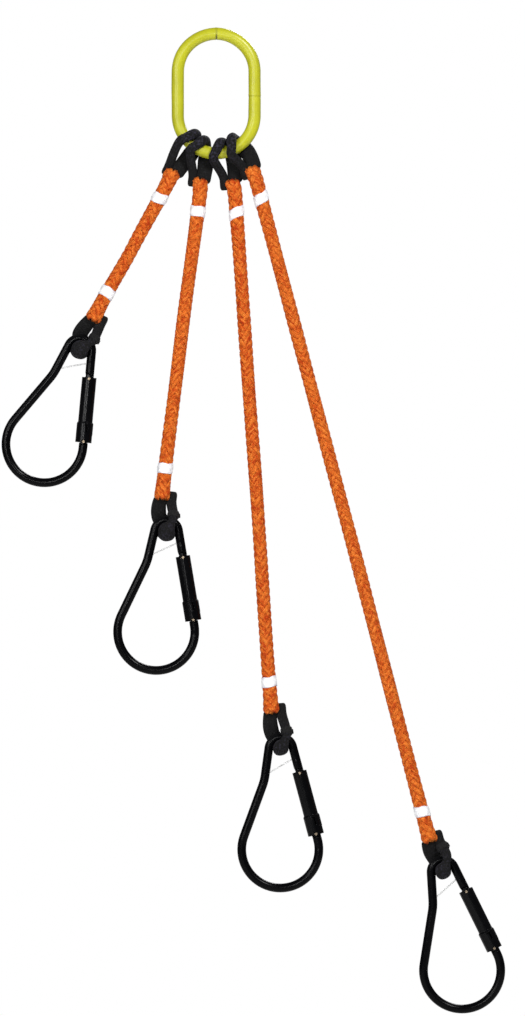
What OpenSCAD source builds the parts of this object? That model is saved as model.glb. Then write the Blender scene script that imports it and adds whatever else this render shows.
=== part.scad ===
// Four leg rope sling: one steel master link, four braided rope legs of graded length, and a
// pear-shaped snap hook with a sprung gate and a twist-lock sleeve on the end of each leg.
// Millimetres. The origin is the point inside the crown of the master link where a lifting hook
// bears. +Z is up and +X runs across the fan of legs. The link and the hooks lie in the XZ plane.

/* [Master link] */
// wire diameter
link_wire = 14; // [13:0.5:14.5]
// width inside the link
link_width = 73.6; // [72:0.4:78]
// height inside the link
link_height = 122.2; // [116:0.2:130]

/* [Rope legs] */
// rope diameter
rope_d = 14; // [12:0.5:14.5]
// rope length between the crotches of its two eyes, for each leg
leg_length = [191.7, 369.2, 610.6, 794.9];
// lean of each rope leg from straight down, positive towards +X
leg_lean = [-27.3, -6.6, 4.5, 14.9];
// length of the coloured marker bands
band_length = 11.5; // [8:0.5:16]
// distance from an eye's crotch to the middle of the nearest marker band
band_offset = 36.5; // [30:0.5:60]

/* [Eyes] */
// place of each upper eye on the link's lower bow, from straight down
seat_angle = [-46, -24, 11, 35];
// distance from the link wire to the crotch of each upper eye
upper_reach = [39.2, 31.7, 31.3, 28];
// lean of each upper eye from straight down
upper_lean = [-29.7, -2.7, 15.8, 30];
// distance from the hook's top bow centre to the crotch of each lower eye
lower_reach = [37.5, 37.6, 42.5, 37.5];
// lean of each lower eye from straight up to down, positive when the hook hangs towards +X
lower_lean = [-26.6, 8, 12.2, 23.8];
// distance of each leg in front of (negative) or behind the link's middle plane
leg_depth = [1.5, -1.5, 4.5, -4.5];
// wall of the woven sleeve round an eye
sleeve_wall = 1.4; // [1:0.1:1.8]

/* [Hooks] */
// diameter of the hook's bar
bar_d = 9.5; // [8.5:0.25:9.75]
// lean of each hook from hanging straight, positive when its bottom is towards +X
hook_lean = [-5.2, 9.4, 15, 26.2];
// centre-line radius of the small top bow
top_bow = 13.8; // [13.6:0.1:15]
// centre-line radius of the large load bow
load_bow = 44; // [40:0.5:48]
// distance between the hinge pin and the latch pin
gate_span = 72; // [70:0.5:76]

/* [Gate and lock sleeve] */
// radius of the rivets
rivet_r = 1.5; // [1.3:0.1:1.6]
// radius of the gate rod
gate_r = 6.4; // [6.2:0.1:6.6]
// outer radius of the lock sleeve's barrel
barrel_r = 8.25; // [7.8:0.05:8.6]
// outer radius of the lock sleeve's collar
collar_r = 9.4; // [8.8:0.1:10]

/* [Hidden] */
$fn = 64;
legs = [0, 1, 2, 3];
link_yellow = [0.80, 0.83, 0.15];
rope_orange = [0.90, 0.40, 0.08];
webbing_black = [0.09, 0.09, 0.10];
tape_white = [0.93, 0.93, 0.91];
coated_black = [0.06, 0.06, 0.07];
bare_steel = [0.72, 0.72, 0.70];
spring_steel = [0.55, 0.56, 0.58];

link_r = link_wire / 2;
link_bow = (link_width + link_wire) / 2;
upper_bow_z = link_r - link_bow;
lower_bow_z = upper_bow_z + 2 * link_bow - link_height - link_wire;

rope_r = rope_d / 2;
throat_run = 14;
throat_gap = 0.3;
throat_sink = 2;
throat_swell = 0.6;

loop_gap = 0.5;
core_gap = 0.15;
loop_sides = 12;
strand_steps = 6;
seat_steps = 12;
seat_wrap = 105;
upper_twist = 10;
lower_twist = 32;
front_offset = 8;
back_offset = 5.3;
sleeve_stop = 1.4;
upper_sizes = [[4.8, 4.8], [5.4, 5], [7.8, 4.8]];
lower_sizes = [[4.8, 4.8], [8.2, 7.8], [7.8, 4.8]];
keeper_steps = [1, 3];
keeper_gap = 0.1;
keeper_wall = 1.1;

bar_r = bar_d / 2;
bar_lap = 0.6;
bar_lap_step = 0.05;
hinge_z = -31.3;
latch_z = hinge_z - gate_span;
load_bow_z = latch_z - 6.8;
spine_lean_top = 22.8;
spine_lean_low = 35.1;
spine_bend = 60;
wire_r = 0.75;
wire_slope = 15.6;
wire_drop = 12.9;
wire_reach = 41;
wire_bury = 2.5;
hole_gap = 0.05;

tang_half = 2;
tang_reach = 4;
tang_top = 5.2;
fork_r = 4.9;
fork_gap = 0.12;
fork_depth = 4.8;
latch_prong_r = 3.2;
nose_top = 6;
nose_slot = 7.8;
nose_bar_gap = 4.6;
pin_half = 6.2;
rivet_fit = 0.02;

spring_bore = 3;
spring_bore_end = 36;
gate_coil = [2.2, 0.45, 7];
gate_coil_z = [-5.4, -35.4];
groove_r = 5;
groove_z = [-14, -34];
lock_coil = [5.75, 0.5, 5];
lock_coil_z = [-14.7, -33.3];
coil_steps = 14;
coil_sides = 5;

sleeve_fit = 0.07;
barrel_top = 1.4;
collar_z = -49.5;
collar_step = 1.6;
sleeve_end = gate_span + 1;
rivet_window = 2.4;
side_slot = 2.5;
bayonet_w = 1.4;
bayonet_x = [-0.7, 3.4];
bayonet_z = [-52.2, -61.2];

function lerp(a, b, t) = a + (b - a) * t;
function unit(v) = v / norm(v);
function square_to(v, t) = unit(v - (v * t) * t);
// a unit vector in the XZ plane, from an angle measured from +X towards +Z
function plane_dir(a) = [cos(a), 0, sin(a)];
function down_dir(lean) = plane_dir(lean - 90);

// the points where a leg's pieces meet
function link_bow_centre() = [0, 0, lower_bow_z];
function link_seat(i) = link_bow_centre() + link_bow * down_dir(seat_angle[i]);
function upper_crotch(i) =
    link_seat(i) + upper_reach[i] * down_dir(upper_lean[i]) + [0, leg_depth[i], 0];
function upper_pivot(i) = upper_crotch(i) + throat_run * down_dir(leg_lean[i]);
function lower_crotch(i) = upper_crotch(i) + leg_length[i] * down_dir(leg_lean[i]);
function lower_pivot(i) = lower_crotch(i) - throat_run * down_dir(leg_lean[i]);
function hook_origin(i) = lower_crotch(i) + lower_reach[i] * down_dir(lower_lean[i]);

// An eye is a loop from its front crotch, over a curved bar and back to its rear crotch.
// eye = [bow centre, bow radius, bar radius, outward angle, twist, crotch, rope direction, sizes]
function upper_eye(i) = [
    link_bow_centre(), link_bow, link_r, seat_angle[i] - 90, upper_twist,
    upper_crotch(i), down_dir(leg_lean[i]), upper_sizes
];
function lower_eye(i) = [
    hook_origin(i), top_bow, bar_r, lower_lean[i] + 90, lower_twist,
    lower_crotch(i), -down_dir(leg_lean[i]), lower_sizes
];

// half width and half thickness of the sleeve at t, from 0 at the front crotch to 1 at the rear
function ease(t) = (1 - cos(180 * min(1, max(0, t)))) / 2;
function size_at(eye, t) = t < 0.5
    ? lerp(eye[7][0], eye[7][1], ease(2.6 * t - 0.15))
    : lerp(eye[7][1], eye[7][2], ease(2.6 * t - 1.45));

strand_share = strand_steps / (2 * strand_steps + seat_steps);
function seat_share(wrap) = lerp(strand_share, 1 - strand_share, (wrap / seat_wrap + 1) / 2);

// the loop's centre line where it wraps the bar: wrap is -90 in front of the bar and 90 behind it
function on_seat(eye, wrap) =
    let (
        stand = eye[2] + loop_gap + size_at(eye, seat_share(wrap))[1],
        outward = plane_dir(eye[3] + eye[4] * wrap / 90)
    )
    eye[0] + (eye[1] - stand * cos(wrap)) * outward + [0, stand * sin(wrap), 0];

function across(eye) = let (d = eye[6]) [-d[2], 0, d[0]];
function bezier(a, b, c, d, t) =
    a * pow(1 - t, 3) + 3 * b * t * pow(1 - t, 2) + 3 * c * t * t * (1 - t) + d * pow(t, 3);

function strand(eye, wrap, offset) =
    let (
        foot = eye[5] + across(eye) * offset,
        head = on_seat(eye, wrap),
        leave = unit(head - on_seat(eye, wrap * 0.96)),
        pull = norm(head - foot) / 3
    )
    [for (k = [0 : strand_steps - 1])
        bezier(foot, foot - eye[6] * pull, head + leave * pull, head, k / strand_steps)];

function reversed(list) = [for (k = [len(list) - 1 : -1 : 0]) list[k]];

function loop_line(eye) = concat(
    strand(eye, -seat_wrap, -front_offset),
    [for (k = [0 : seat_steps]) on_seat(eye, lerp(-seat_wrap, seat_wrap, k / seat_steps))],
    reversed(strand(eye, seat_wrap, back_offset))
);

// the direction of a loop's width at each of its points
function loop_widths(eye) =
    let (last = 2 * strand_steps + seat_steps)
    [for (k = [0 : last])
        let (
            on_bar = 1 - ease(abs(2 * k / last - 1) * 1.4 - 0.4),
            turn = eye[3] + eye[4] * (2 * k / last - 1) + 90
        )
        unit(lerp(across(eye), plane_dir(turn), on_bar))];

function tangents(line) = [for (k = [0 : len(line) - 1])
    unit(line[min(k + 1, len(line) - 1)] - line[max(k - 1, 0)])];

function rings(line, runs, widths, sizes) = [for (k = [0 : len(line) - 1])
    let (
        t = runs[k],
        w = square_to(widths[k], t),
        n = cross(t, w)
    )
    for (s = [0 : loop_sides - 1])
        line[k] + w * sizes[k][0] * cos(360 * s / loop_sides)
            + n * sizes[k][1] * sin(360 * s / loop_sides)];

function grid_faces(count, sides, base, flip) = [
    for (k = [0 : count - 2], s = [0 : sides - 1], half = [0, 1])
        let (
            a = base + k * sides + s,
            b = base + k * sides + (s + 1) % sides,
            far = half == 0 ? [b + sides, a + sides] : [b, b + sides]
        )
        flip ? [a, far[0], far[1]] : [far[1], far[0], a]
];

// the ring of faces that joins a tube's outer skin to its inner one at an open end
function end_faces(sides, first, base, flip) = [for (s = [0 : sides - 1], half = [0, 1])
    let (
        a = first + s,
        b = first + (s + 1) % sides,
        far = half == 0 ? [b, b + base] : [b + base, a + base]
    )
    flip ? [far[1], far[0], a] : [a, far[0], far[1]]];

module swept_bar(points, count, sides) {
    polyhedron(
        points = points,
        faces = concat(
            grid_faces(count, sides, 0, false),
            [[for (s = [0 : sides - 1]) s]],
            [[for (s = [sides - 1 : -1 : 0]) (count - 1) * sides + s]]
        ),
        convexity = 8
    );
}

module swept_tube(outer, inner, count, sides) {
    base = count * sides;
    last = base - sides;
    polyhedron(
        points = concat(outer, inner),
        faces = concat(
            grid_faces(count, sides, 0, false),
            grid_faces(count, sides, base, true),
            end_faces(sides, 0, base, false),
            end_faces(sides, last, base, true)
        ),
        convexity = 12
    );
}

function grown(sizes, by) = [for (s = sizes) [s[0] + by, s[1] + by]];
function loop_sizes(eye) =
    let (last = 2 * strand_steps + seat_steps) [for (k = [0 : last]) size_at(eye, k / last)];

// a list with its first and last items repeated, or with both given anew
function doubled(list) = concat([list[0]], list, [list[len(list) - 1]]);
function with_ends(first, list, last) =
    [for (k = [0 : len(list) - 1]) k == 0 ? first : k == len(list) - 1 ? last : list[k]];

// the sleeve stops a little short of both crotches, clear of the rope's throat
module eye_sleeve(eye) {
    line = loop_line(eye);
    last = len(line) - 1;
    runs = tangents(line);
    widths = loop_widths(eye);
    sizes = loop_sizes(eye);
    cut = with_ends(line[0] + runs[0] * sleeve_stop, line, line[last] - runs[last] * sleeve_stop);
    swept_tube(
        rings(cut, runs, widths, sizes),
        rings(cut, runs, widths, grown(sizes, -sleeve_wall)),
        last + 1,
        loop_sides
    );
}

// the rope inside the sleeve runs on into the throat below the crotch
module eye_rope(eye) {
    line = loop_line(eye);
    last = len(line) - 1;
    sunk = concat([line[0] + eye[6] * throat_sink], line, [line[last] + eye[6] * throat_sink]);
    swept_bar(
        rings(
            sunk,
            doubled(tangents(line)),
            doubled(loop_widths(eye)),
            doubled(grown(loop_sizes(eye), -sleeve_wall - core_gap))
        ),
        last + 3,
        loop_sides
    );
    throat_end = throat_run - rope_r - throat_gap;
    translate(eye[5])
        along(eye[6])
            cylinder(r = rope_r + throat_swell, h = throat_end);
}

// turns +Z into a direction in the XZ plane
module along(direction) {
    rotate([0, 90 - atan2(direction[2], direction[0]), 0])
        children();
}

module master_link() {
    color(link_yellow) {
        for (end = [[upper_bow_z, 0], [lower_bow_z, 180]])
            translate([0, 0, end[0]])
                rotate([90, end[1], 0])
                    rotate_extrude(angle = 180)
                        translate([link_bow, 0])
                            circle(r = link_r);
        for (side = [-1, 1])
            translate([side * link_bow, 0, lower_bow_z])
                cylinder(r = link_r, h = upper_bow_z - lower_bow_z);
    }
}

module upper_eye_rope(i) {
    color(rope_orange)
        eye_rope(upper_eye(i));
}

module upper_sleeve(i) {
    color(webbing_black)
        eye_sleeve(upper_eye(i));
}

module lower_eye_rope(i) {
    color(rope_orange)
        eye_rope(lower_eye(i));
}

module lower_sleeve(i) {
    color(webbing_black)
        eye_sleeve(lower_eye(i));
}

module rope_leg(i) {
    color(rope_orange)
        translate(upper_pivot(i))
            along(down_dir(leg_lean[i])) {
                sphere(r = rope_r);
                cylinder(r = rope_r, h = leg_length[i] - 2 * throat_run);
                translate([0, 0, leg_length[i] - 2 * throat_run])
                    sphere(r = rope_r);
            }
}

module marker_bands(i) {
    color(tape_white)
        translate(upper_crotch(i))
            along(down_dir(leg_lean[i]))
                for (middle = [band_offset, leg_length[i] - band_offset])
                    translate([0, 0, middle - band_length / 2])
                        difference() {
                            cylinder(r = rope_r + 0.5, h = band_length);
                            translate([0, 0, -1])
                                cylinder(r = rope_r + 0.05, h = band_length + 2);
                        }
}

// an elastic band round the front strand of the lower eye
module keeper_band(i) {
    eye = lower_eye(i);
    line = loop_line(eye);
    runs = tangents(line);
    widths = loop_widths(eye);
    sizes = loop_sizes(eye);
    outer = rings(line, runs, widths, grown(sizes, keeper_wall));
    inner = rings(line, runs, widths, grown(sizes, keeper_gap));
    points = [for (k = [keeper_steps[0] * loop_sides : (keeper_steps[1] + 1) * loop_sides - 1]) k];
    color(webbing_black)
        swept_tube(
            [for (k = points) outer[k]],
            [for (k = points) inner[k]],
            keeper_steps[1] - keeper_steps[0] + 1,
            loop_sides
        );
}

// children are drawn in a hook's own frame: origin at the top bow's centre, gate towards +X
module in_hook(i) {
    translate(hook_origin(i))
        rotate([0, -hook_lean[i], 0])
            children();
}

module in_gate(i) {
    in_hook(i)
        translate([top_bow, 0, hinge_z])
            children();
}

// a quarter or more of a ring in the XZ plane, from start by sweep degrees towards +Z
module ring_arc(centre, radius, start, sweep) {
    translate([centre[0], 0, centre[1]])
        rotate([90, 0, 0])
            rotate([0, 0, start])
                rotate_extrude(angle = sweep)
                    translate([radius, 0])
                        circle(r = bar_r);
}

// a straight run of bar, lapped into the bent run before it and into the one after it
module bar_between(a, b, lap_after) {
    step = b - a;
    translate([a[0], 0, a[1]])
        rotate([0, 90 - atan2(step[1], step[0]), 0])
            translate([0, 0, -bar_lap])
                cylinder(r = bar_r + bar_lap_step, h = norm(step) + bar_lap + lap_after);
}

// the spine: two straight runs joined by a gentle outward bend
load_centre = [top_bow - load_bow, load_bow_z];
function flat_dir(a) = [cos(a), sin(a)];
top_run_start = top_bow * flat_dir(180 - spine_lean_top);
low_run_end = load_centre + load_bow * flat_dir(180 - spine_lean_low);
top_run_dir = -flat_dir(90 - spine_lean_top);
low_run_dir = -flat_dir(90 - spine_lean_low);
run_gap = low_run_end - top_run_start;
top_run = (run_gap[0] * low_run_dir[1] - run_gap[1] * low_run_dir[0])
    / (top_run_dir[0] * low_run_dir[1] - top_run_dir[1] * low_run_dir[0]);
spine_corner = top_run_start + top_run * top_run_dir;
bend_sweep = spine_lean_low - spine_lean_top;
bend_trim = spine_bend * tan(bend_sweep / 2);
bend_start = spine_corner - bend_trim * top_run_dir;
bend_end = spine_corner + bend_trim * low_run_dir;
bend_centre = bend_start + spine_bend * flat_dir(180 - spine_lean_top);
wire_foot = [top_bow, -wire_drop];

module captive_bore(r, shorten) {
    translate([wire_foot[0], 0, wire_foot[1]])
        rotate([0, -90 - wire_slope, 0])
            translate([0, 0, shorten - wire_bury])
                cylinder(r = r, h = wire_reach + wire_bury - 2 * shorten);
}

module tang(top, bottom, round_at) {
    intersection() {
        translate([-tang_reach, -tang_half, bottom])
            cube([2 * tang_reach, 2 * tang_half, top - bottom]);
        union() {
            translate([0, 0, round_at])
                rotate([90, 0, 0])
                    cylinder(r = tang_reach, h = 4 * tang_half, center = true);
            if (top - round_at > tang_reach)
                translate([-bar_d, -bar_d, round_at])
                    cube([2 * bar_d, 2 * bar_d, top]);
            if (round_at - bottom > tang_reach)
                translate([-bar_d, -bar_d, bottom])
                    cube([2 * bar_d, 2 * bar_d, round_at - bottom]);
        }
    }
}

module hook_frame(i) {
    nose_bar_top = latch_z - nose_bar_gap;
    color(coated_black)
        in_hook(i)
            difference() {
                union() {
                    ring_arc([0, 0], top_bow, 0, 180 - spine_lean_top);
                    bar_between(top_run_start, bend_start, bar_lap);
                    ring_arc(bend_centre, spine_bend, -spine_lean_low, bend_sweep);
                    bar_between(bend_end, low_run_end, bar_lap);
                    ring_arc(load_centre, load_bow, 180 - spine_lean_low, 180 + spine_lean_low);
                    bar_between([top_bow, 0], [top_bow, hinge_z + tang_top], 0);
                    bar_between([top_bow, load_bow_z], [top_bow, nose_bar_top], 0);
                    translate([top_bow, 0, hinge_z])
                        tang(tang_top + 1, -tang_reach, 0);
                    translate([top_bow, 0, latch_z])
                        tang(nose_top, -nose_bar_gap - 1, nose_top - tang_reach);
                }
                captive_bore(wire_r + hole_gap, -hole_gap);
                translate([top_bow, 0, hinge_z])
                    rotate([90, 0, 0])
                        cylinder(r = rivet_r + hole_gap, h = bar_d, center = true);
                // the latch notch, open to the inside of the hook where the latch pin leaves it
                translate([top_bow, 0, latch_z]) {
                    rotate([90, 0, 0])
                        cylinder(r = rivet_r + 2 * hole_gap, h = bar_d, center = true);
                    translate([-bar_d, -bar_r, -rivet_r - 2 * hole_gap])
                        cube([bar_d, bar_d, 2 * rivet_r + 7 * hole_gap]);
                }
            }
}

module captive_wire(i) {
    color(bare_steel)
        in_hook(i)
            captive_bore(wire_r, hole_gap);
}

module gate(i) {
    color(coated_black)
        in_gate(i)
            difference() {
                union() {
                    translate([0, 0, -gate_span])
                        cylinder(r = gate_r, h = gate_span);
                    intersection() {
                        translate([0, 0, -gate_span - fork_r])
                            cylinder(r = gate_r, h = gate_span + 2 * fork_r);
                        union() {
                            rotate([90, 0, 0])
                                cylinder(r = fork_r, h = 3 * gate_r, center = true);
                            translate([0, 0, -gate_span])
                                rotate([90, 0, 0])
                                    cylinder(r = latch_prong_r, h = 3 * gate_r, center = true);
                        }
                    }
                }
                translate([-2 * gate_r, -tang_half - fork_gap, -fork_depth])
                    cube([4 * gate_r, 2 * (tang_half + fork_gap), 2 * fork_depth + 2]);
                translate([-2 * gate_r, -tang_half - fork_gap, -gate_span - 2 * latch_prong_r])
                    cube([4 * gate_r, 2 * (tang_half + fork_gap), nose_slot + 2 * latch_prong_r]);
                translate([0, 0, -spring_bore_end])
                    cylinder(r = spring_bore, h = spring_bore_end);
                translate([0, 0, groove_z[1]])
                    difference() {
                        cylinder(r = gate_r + 1, h = groove_z[0] - groove_z[1]);
                        cylinder(r = groove_r, h = groove_z[0] - groove_z[1]);
                    }
                for (z = [0, -gate_span])
                    translate([0, 0, z])
                        rotate([90, 0, 0])
                            cylinder(r = rivet_r + rivet_fit, h = 3 * gate_r, center = true);
            }
}

// the hinge rivet and the latch rivet, both set in the gate
module gate_rivets(i) {
    color(bare_steel)
        in_gate(i)
            for (z = [0, -gate_span])
                translate([0, 0, z])
                    rotate([90, 0, 0])
                        cylinder(r = rivet_r, h = 2 * pin_half, center = true);
}

// coil = [mean radius, wire radius, turns], between the two heights
function coil_rings(coil, ends) =
    let (
        count = coil[2] * coil_steps,
        rise = (ends[1] - ends[0] + 2 * coil[1]) / count,
        pitch = atan2(rise * coil_steps, 2 * PI * coil[0])
    )
    [for (k = [0 : count], s = [0 : coil_sides - 1])
        let (
            a = 360 * k / coil_steps,
            b = -360 * s / coil_sides,
            out = coil[1] * cos(b),
            lift = coil[1] * sin(b)
        )
        [
            (coil[0] + out) * cos(a) + lift * sin(pitch) * sin(a),
            (coil[0] + out) * sin(a) - lift * sin(pitch) * cos(a),
            ends[0] - coil[1] + rise * k + lift * cos(pitch)
        ]];

module coil_spring(coil, ends) {
    swept_bar(coil_rings(coil, ends), coil[2] * coil_steps + 1, coil_sides);
}

module gate_spring(i) {
    color(spring_steel)
        in_gate(i)
            coil_spring(gate_coil, gate_coil_z);
}

module lock_spring(i) {
    color(spring_steel)
        in_gate(i)
            coil_spring(lock_coil, lock_coil_z);
}

module lock_sleeve(i) {
    color(coated_black)
        in_gate(i)
            difference() {
                union() {
                    translate([0, 0, collar_z])
                        cylinder(r = barrel_r, h = barrel_top - collar_z);
                    translate([0, 0, collar_z - collar_step])
                        cylinder(r1 = collar_r, r2 = barrel_r, h = collar_step);
                    translate([0, 0, -sleeve_end])
                        cylinder(r = collar_r, h = sleeve_end + collar_z - collar_step);
                }
                translate([0, 0, -sleeve_end - 1])
                    cylinder(r = gate_r + sleeve_fit, h = sleeve_end + barrel_top + 2);
                // windows over both rivets
                for (z = [0, -gate_span])
                    translate([0, 0, z])
                        rotate([90, 0, 0])
                            cylinder(r = rivet_window, h = 3 * collar_r, center = true);
                // the slot that lets the hook's nose out when the sleeve is turned to release
                translate([0, -side_slot, -sleeve_end - 1])
                    cube([2 * collar_r, 2 * side_slot, nose_slot + sleeve_end - gate_span + 1]);
                // the bayonet slot in the front of the collar
                translate([bayonet_x[0], -2 * collar_r, bayonet_z[0] - bayonet_w])
                    cube([bayonet_x[1] - bayonet_x[0], 2 * collar_r, bayonet_w]);
                translate([bayonet_x[1] - bayonet_w, -2 * collar_r, bayonet_z[1]])
                    cube([bayonet_w, 2 * collar_r, bayonet_z[0] - bayonet_z[1]]);
            }
}

master_link();
for (i = legs) {
    upper_eye_rope(i);
    upper_sleeve(i);
    rope_leg(i);
    marker_bands(i);
    lower_eye_rope(i);
    lower_sleeve(i);
    keeper_band(i);
    hook_frame(i);
    captive_wire(i);
    gate(i);
    gate_rivets(i);
    gate_spring(i);
    lock_sleeve(i);
    lock_spring(i);
}
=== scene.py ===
"""Looks of the four leg rope sling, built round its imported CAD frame.

Shapes are laid out in millimetres in the CAD's frame, and scaled to metres as a mesh is made.
"""

import math

import bpy
import numpy as np
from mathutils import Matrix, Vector


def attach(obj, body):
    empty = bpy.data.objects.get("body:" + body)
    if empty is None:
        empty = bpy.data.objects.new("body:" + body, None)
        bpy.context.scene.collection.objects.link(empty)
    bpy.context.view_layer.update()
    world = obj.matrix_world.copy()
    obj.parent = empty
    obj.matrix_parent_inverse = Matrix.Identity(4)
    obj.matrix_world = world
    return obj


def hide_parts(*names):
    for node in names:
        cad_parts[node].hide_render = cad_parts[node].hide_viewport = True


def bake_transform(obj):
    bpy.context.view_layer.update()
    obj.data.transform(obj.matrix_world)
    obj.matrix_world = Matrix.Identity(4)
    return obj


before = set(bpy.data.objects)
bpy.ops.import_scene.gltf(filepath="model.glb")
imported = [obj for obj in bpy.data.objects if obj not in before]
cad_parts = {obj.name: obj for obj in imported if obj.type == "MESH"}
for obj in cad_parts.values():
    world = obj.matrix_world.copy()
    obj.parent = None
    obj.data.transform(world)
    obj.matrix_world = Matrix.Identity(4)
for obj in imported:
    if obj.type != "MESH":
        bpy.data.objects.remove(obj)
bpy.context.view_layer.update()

MM = 0.001
LEGS = range(4)

# ------------------------------------------------------------ layout, the same as in the CAD source
LINK_R = 7.0
LINK_BOW = 43.8
LINK_INSIDE_HEIGHT = 122.2
UPPER_BOW_Z = LINK_R - LINK_BOW
LOWER_BOW_Z = UPPER_BOW_Z + 2 * LINK_BOW - LINK_INSIDE_HEIGHT - 2 * LINK_R
LEG_LENGTH = (191.7, 369.2, 610.6, 794.9)
LEG_LEAN = (-27.3, -6.6, 4.5, 14.9)
SEAT_ANGLE = (-46.0, -24.0, 11.0, 35.0)
UPPER_REACH = (39.2, 31.7, 31.3, 28.0)
UPPER_LEAN = (-29.7, -2.7, 15.8, 30.0)
LOWER_REACH = (37.5, 37.6, 42.5, 37.5)
LOWER_LEAN = (-26.6, 8.0, 12.2, 23.8)
HOOK_LEAN = (-5.2, 9.4, 15.0, 26.2)
LEG_DEPTH = (1.5, -1.5, 4.5, -4.5)
THROAT_RUN = 14.0
TOP_BOW = 13.8
LOAD_BOW = 44.0
HINGE_Z = -31.3
RIVET_SPACING = 72.0
LATCH_Z = HINGE_Z - RIVET_SPACING
LOAD_BOW_DROP = 6.8
LOAD_BOW_Z = LATCH_Z - LOAD_BOW_DROP
SPINE_LEANS = (22.8, 35.1)
SPINE_BEND = 60.0
KNUCKLE_R = 5.1
NOSE_BAR_GAP = 3.7


def unit(v):
    return v / np.linalg.norm(v)


def plane_dir(degrees):
    """A unit vector in the XZ plane, from an angle measured from +X towards +Z."""
    a = math.radians(degrees)
    return np.array([math.cos(a), 0.0, math.sin(a)])


def down_dir(lean):
    return plane_dir(lean - 90)


def lerp(a, b, t):
    return a + (b - a) * t


def ease(t):
    return (1 - np.cos(np.pi * np.clip(t, 0.0, 1.0))) / 2


def eased_steps(t, stations, values):
    """A value that eases from station to station, and holds before the first and past the last."""
    value = values[0]
    for k in range(len(stations) - 1):
        share = ease((t - stations[k]) / (stations[k + 1] - stations[k]))
        value = value + (values[k + 1] - values[k]) * share
    return value


def hump(x, centre, run):
    return np.exp(-(((x - centre) / run) ** 2))


Y_AXIS = np.array([0.0, 1.0, 0.0])
Z_AXIS = np.array([0.0, 0.0, 1.0])
UPPER_CENTRE = UPPER_BOW_Z * Z_AXIS
LOWER_CENTRE = LOWER_BOW_Z * Z_AXIS

# sideways bow of each hanging rope from its straight line: at its top, below the upper throat,
# half way, above the lower throat and at its foot
LEG_BOW = (
    (1.5, 2.1, 0.6, -2.2, -2.3),
    (1.2, 2.9, 0.6, -0.5, -0.2),
    (1.2, 3.2, 1.2, -1.6, -1.6),
    (0.8, 2.6, 2.0, 0.1, 0.5),
)
BOW_END = 18.0


def upper_crotch(i):
    seat = LOWER_CENTRE + LINK_BOW * down_dir(SEAT_ANGLE[i])
    return seat + UPPER_REACH[i] * down_dir(UPPER_LEAN[i]) + LEG_DEPTH[i] * Y_AXIS


def along_leg(i, distance):
    """A point on the straight line of a leg, at a distance below its upper crotch."""
    return upper_crotch(i) + distance * down_dir(LEG_LEAN[i])


def hook_origin(i):
    return along_leg(i, LEG_LENGTH[i]) + LOWER_REACH[i] * down_dir(LOWER_LEAN[i])


def leg_side(i):
    """Square to a leg in the sling's plane, towards +X."""
    axis = down_dir(LEG_LEAN[i])
    return np.array([-axis[2], 0.0, axis[0]])


def leg_bow(i, distance):
    """How far a leg's rope hangs off its straight line, at distances below its upper crotch."""
    full = LEG_LENGTH[i]
    return eased_steps(distance, (0.0, BOW_END, full / 2, full - BOW_END, full), LEG_BOW[i])


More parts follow.
